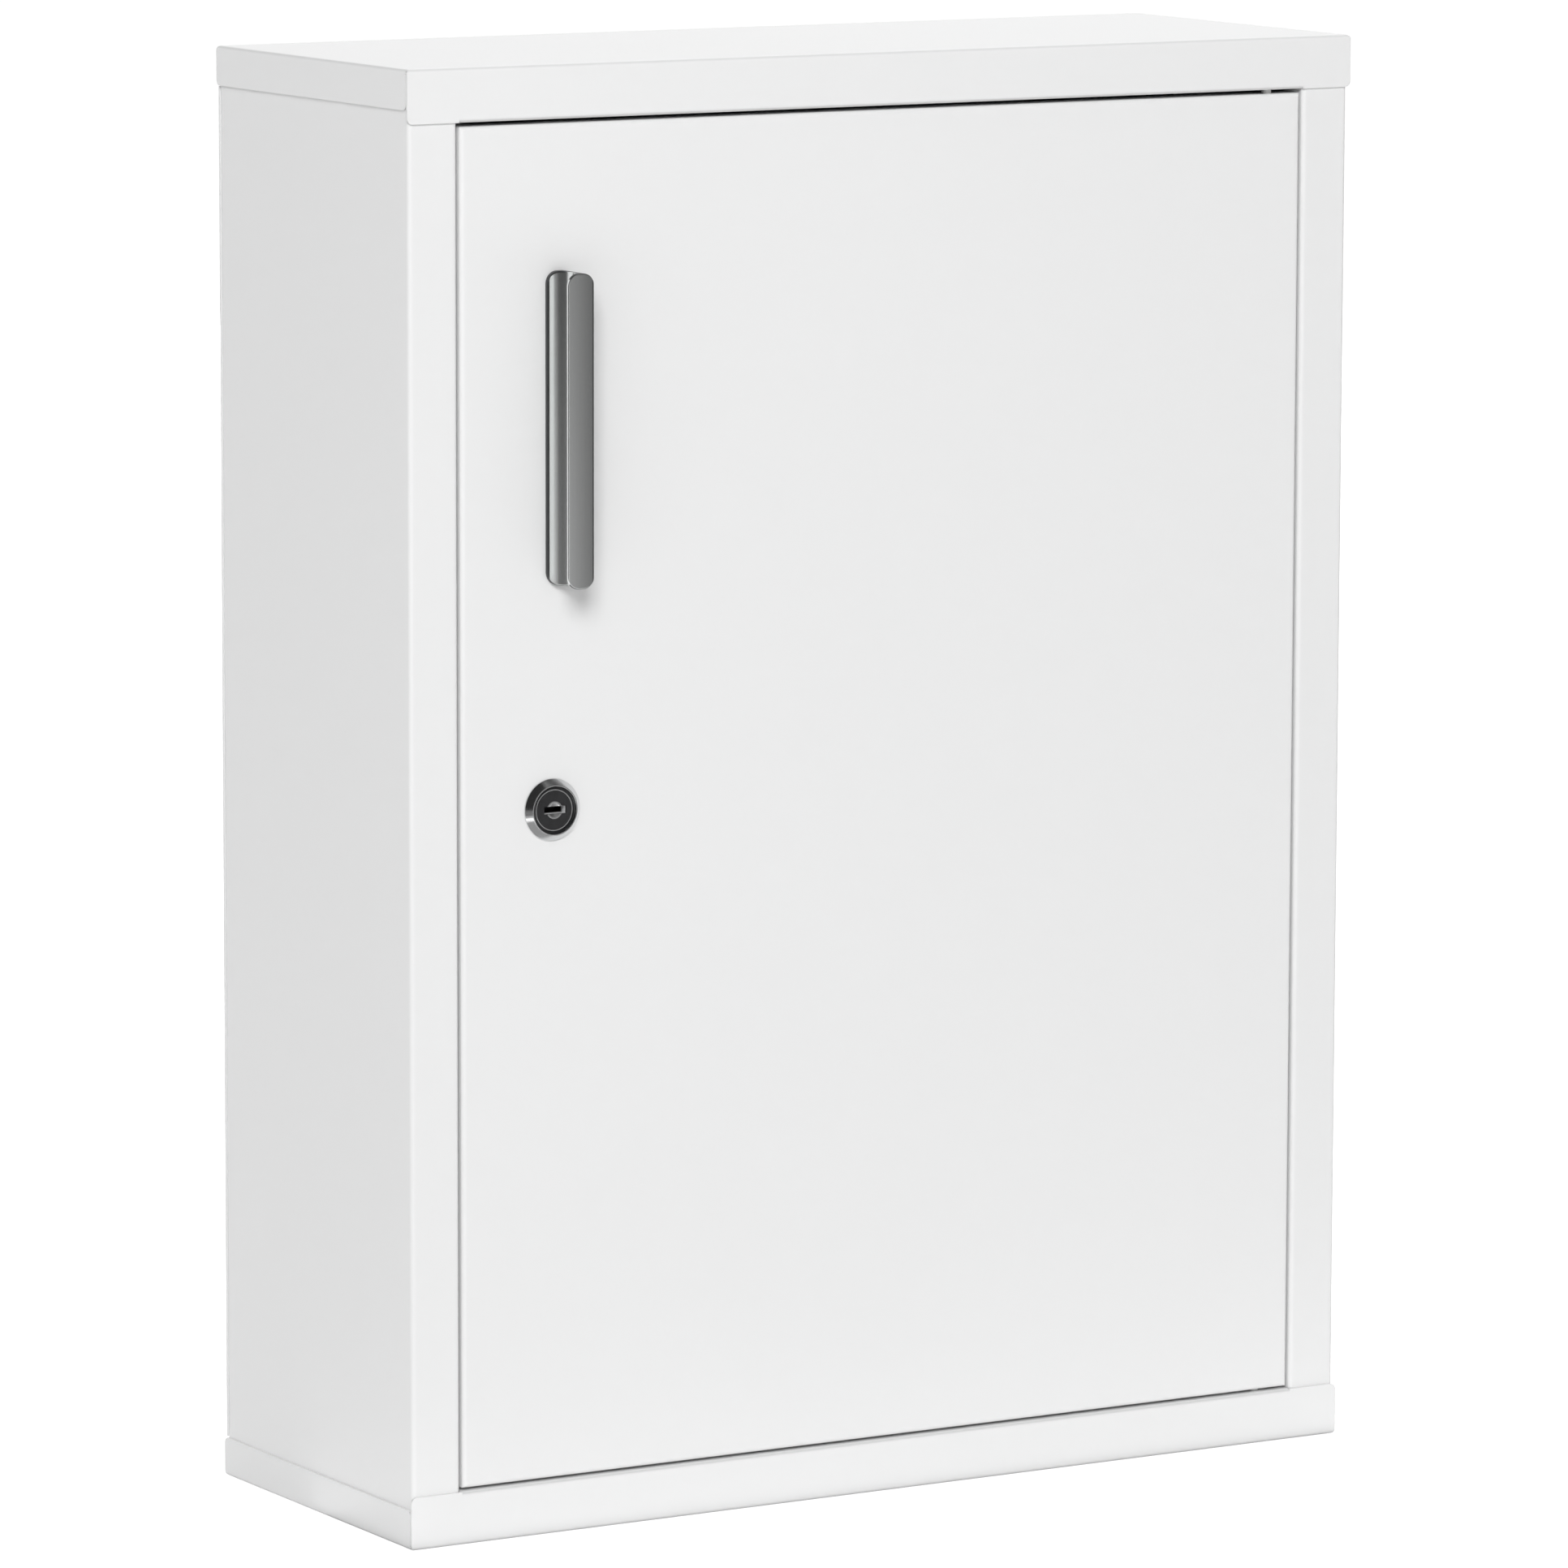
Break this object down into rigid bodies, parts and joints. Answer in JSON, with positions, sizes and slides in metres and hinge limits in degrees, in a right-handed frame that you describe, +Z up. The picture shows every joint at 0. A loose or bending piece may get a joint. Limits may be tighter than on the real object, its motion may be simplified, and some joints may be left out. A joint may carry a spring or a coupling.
{
  "type": "lockable medicine cabinet",
  "caption": "Wall-hung folded-steel cabinet with a lockable hinged door, a vertical finger-pull handle and adjustable shelves inside.",
  "frame": {"origin": "middle of the base: half the carcass width and half the carcass depth, on the underside", "axes": "+Z up, +Y towards the wall, so the door faces -Y; +X is to the right when facing the door"},
  "size_m": [0.45, 0.183, 0.6],
  "materials": {
    "white_powder_coat": "satin",
    "zinc_plated_steel": "satin",
    "bright_steel": "satin",
    "chrome_plate": "polished",
    "anodised_aluminium": "satin",
    "black_plastic": "satin",
    "white_nylon": "satin",
    "black_rubber": "matt"
  },
  "bodies": {
    "cabinet": {"top_panel": "white_powder_coat", "bottom_panel": "white_powder_coat", "left_side_panel": "white_powder_coat", "right_side_panel": "white_powder_coat", "back_panel": "white_powder_coat", "left_front_strip": "zinc_plated_steel", "left_rear_strip": "zinc_plated_steel", "right_front_strip": "zinc_plated_steel", "right_rear_strip": "zinc_plated_steel", "lower_shelf": "white_powder_coat", "upper_shelf": "white_powder_coat", "shelf_clips": "zinc_plated_steel", "upper_hinge_plate": "zinc_plated_steel", "lower_hinge_plate": "zinc_plated_steel", "upper_hinge_pin": "bright_steel", "lower_hinge_pin": "bright_steel", "door_buffers": "black_rubber"},
    "door": {"door_panel": "white_powder_coat", "upper_hinge_bush": "white_nylon", "lower_hinge_bush": "white_nylon", "handle": "anodised_aluminium", "handle_screws": "bright_steel", "lock_housing": "chrome_plate", "lock_ring": "black_plastic", "lock_nut": "bright_steel"},
    "lock_core": {"lock_plug": "chrome_plate", "plug_cap": "black_plastic", "lock_cam": "bright_steel", "cam_washer": "bright_steel", "cam_screw": "bright_steel"}
  },
  "joints": [
    {"name": "door_hinge", "type": "hinge", "parent": "cabinet", "child": "door", "pos_m": [0.1871, -0.076, 0.3], "axis": [0, 0, 1], "range_deg": [0, 120]},
    {"name": "lock_turn", "type": "hinge", "parent": "door", "child": "lock_core", "pos_m": [-0.1592, -0.0815, 0.299], "axis": [0, 1, 0], "range_deg": [0, 90]}
  ]
}
